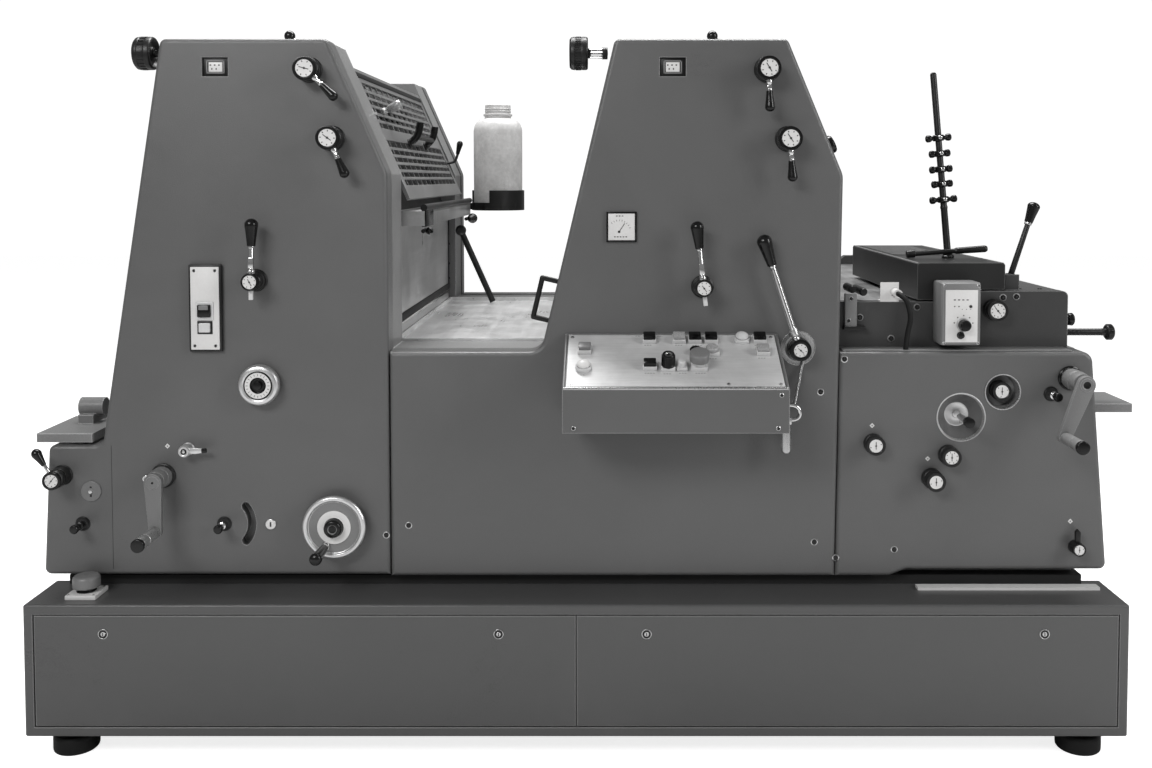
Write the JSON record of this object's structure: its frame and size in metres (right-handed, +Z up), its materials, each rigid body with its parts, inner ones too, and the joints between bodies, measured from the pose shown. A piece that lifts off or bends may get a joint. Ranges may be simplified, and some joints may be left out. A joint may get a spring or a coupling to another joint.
{
  "type": "offset printing press",
  "caption": "Two-colour sheet-fed offset press: stepped side covers with two printing towers on a long base, with guard, console, levers and handwheels that turn.",
  "frame": {"origin": "on the floor, in the middle of the press's whole footprint", "axes": "+X towards the feeder end, +Y towards the drive side, +Z up; the operator stands at -Y"},
  "size_m": [2.359, 1.5754, 1.536],
  "materials": {
    "bare_metal": "worn bare sheet",
    "base_paint": "smooth dark grey enamel",
    "black_plastic": "glossy moulded",
    "bottle_plastic": "milky, scuffed",
    "chrome": "polished",
    "cover_paint": "fine hammered grey enamel",
    "dark_metal": "black enamel",
    "frame_iron": "grey-painted cast iron, satin",
    "grey_plastic": "moulded",
    "ink_roller": "smooth",
    "light_plate": "matt white enamel",
    "rubber": "matt",
    "steel": "ground steel"
  },
  "bodies": {
    "press_body": {"adjusters": "black_plastic", "apron": "bare_metal", "base_box_drive": "base_paint", "base_box_operator": "base_paint", "base_deck": "dark_metal", "base_panels": "base_paint", "base_rail": "steel", "bottle": "bottle_plastic", "bottle_holder": "black_plastic", "console": "cover_paint", "console_buttons": "black_plastic", "console_plate": "light_plate", "control_bosses": "black_plastic", "control_box": "cover_paint", "control_lead": "rubber", "cover_delivery": "cover_paint", "cover_feeder": "cover_paint", "cover_printing": "cover_paint", "covers_drive_side": "cover_paint", "emergency_stop": "grey_plastic", "end_screw": "dark_metal", "feed_table": "bare_metal", "feeder_head": "cover_paint", "feeder_housing": "cover_paint", "gauge": "black_plastic", "grab_handle": "dark_metal", "guide_mast": "dark_metal", "ink_fountains": "steel", "ink_rollers": "ink_roller", "inner_housing": "dark_metal", "lead_bracket": "light_plate", "levelling_feet": "rubber", "pile_boards": "bare_metal", "prop_rod": "dark_metal", "side_frame_drive": "frame_iron", "side_frame_operator": "frame_iron", "side_shelves": "frame_iron", "slope_guards": "bare_metal", "switch_box": "light_plate", "tray": "bare_metal"},
    "guard": {"guard_grille": "bare_metal", "guard_handle": "dark_metal"},
    "impression_lever": {"impression_lever": "black_plastic"},
    "water_lever": {"water_lever": "black_plastic"},
    "main_lever": {"main_lever": "black_plastic"},
    "dial_lever_one": {"dial_lever_one": "black_plastic"},
    "dial_lever_two": {"dial_lever_two": "black_plastic"},
    "dial_lever_three": {"dial_lever_three": "black_plastic"},
    "dial_lever_four": {"dial_lever_four": "black_plastic"},
    "ball_lever": {"ball_lever": "black_plastic"},
    "tap_lever": {"tap_lever": "chrome"},
    "feeder_lever": {"feeder_lever": "black_plastic"},
    "delivery_crank": {"delivery_crank": "chrome"},
    "feeder_crank": {"feeder_crank": "chrome"},
    "handwheel": {"handwheel": "steel"},
    "side_wheel": {"side_wheel": "steel"},
    "ink_wheel_one": {"ink_wheel_one": "black_plastic"},
    "ink_wheel_two": {"ink_wheel_two": "black_plastic"}
  },
  "joints": [
    {"name": "guard_hinge", "type": "hinge", "parent": "press_body", "child": "guard", "pos_m": [-0.5425, 0.0427, 1.452], "axis": [0, -1, 0], "range_deg": [0, 60]},
    {"name": "impression_lever_pivot", "type": "hinge", "parent": "press_body", "child": "impression_lever", "pos_m": [-0.7055, -0.6373, 0.994], "axis": [0, 1, 0], "range_deg": [-30, 30]},
    {"name": "water_lever_pivot", "type": "hinge", "parent": "press_body", "child": "water_lever", "pos_m": [0.2375, -0.6373, 0.981], "axis": [0, 1, 0], "range_deg": [-25, 12]},
    {"name": "main_lever_pivot", "type": "hinge", "parent": "press_body", "child": "main_lever", "pos_m": [0.4405, -0.6373, 0.85], "axis": [0, 1, 0], "range_deg": [-15, 25]},
    {"name": "dial_lever_one_pivot", "type": "hinge", "parent": "press_body", "child": "dial_lever_one", "pos_m": [-0.5875, -0.6373, 1.436], "axis": [0, 1, 0], "range_deg": [-45, 45]},
    {"name": "dial_lever_two_pivot", "type": "hinge", "parent": "press_body", "child": "dial_lever_two", "pos_m": [-0.5415, -0.6373, 1.293], "axis": [0, 1, 0], "range_deg": [-45, 45]},
    {"name": "dial_lever_three_pivot", "type": "hinge", "parent": "press_body", "child": "dial_lever_three", "pos_m": [0.3705, -0.6373, 1.437], "axis": [0, 1, 0], "range_deg": [-45, 45]},
    {"name": "dial_lever_four_pivot", "type": "hinge", "parent": "press_body", "child": "dial_lever_four", "pos_m": [0.4155, -0.6373, 1.292], "axis": [0, 1, 0], "range_deg": [-45, 45]},
    {"name": "ball_lever_pivot", "type": "hinge", "parent": "press_body", "child": "ball_lever", "pos_m": [-1.1235, -0.6373, 0.578], "axis": [0, 1, 0], "range_deg": [-40, 40]},
    {"name": "tap_lever_pivot", "type": "hinge", "parent": "press_body", "child": "tap_lever", "pos_m": [-0.8555, -0.6373, 0.634], "axis": [0, 1, 0], "range_deg": [-45, 45]},
    {"name": "feeder_lever_pivot", "type": "hinge", "parent": "press_body", "child": "feeder_lever", "pos_m": [0.9225, -0.5073, 0.985], "axis": [0, 1, 0], "range_deg": [-25, 20]},
    {"name": "delivery_crank_turn", "type": "hinge", "parent": "press_body", "child": "delivery_crank", "pos_m": [-0.9085, -0.6673, 0.577], "axis": [0, 1, 0], "continuous": true},
    {"name": "feeder_crank_turn", "type": "hinge", "parent": "press_body", "child": "feeder_crank", "pos_m": [1.0185, -0.6873, 0.786], "axis": [0, 1, 0], "continuous": true},
    {"name": "handwheel_turn", "type": "hinge", "parent": "press_body", "child": "handwheel", "pos_m": [-0.5405, -0.6273, 0.473], "axis": [0, 1, 0], "continuous": true},
    {"name": "side_wheel_turn", "type": "hinge", "parent": "press_body", "child": "side_wheel", "pos_m": [-0.6975, -0.6273, 0.774], "axis": [0, 1, 0], "continuous": true},
    {"name": "ink_wheel_one_turn", "type": "hinge", "parent": "press_body", "child": "ink_wheel_one", "pos_m": [-0.98036, -0.4843, 1.484], "axis": [1, 0, 0], "continuous": true},
    {"name": "ink_wheel_two_turn", "type": "hinge", "parent": "press_body", "child": "ink_wheel_two", "pos_m": [-0.02678, -0.4843, 1.484], "axis": [1, 0, 0], "continuous": true}
  ]
}
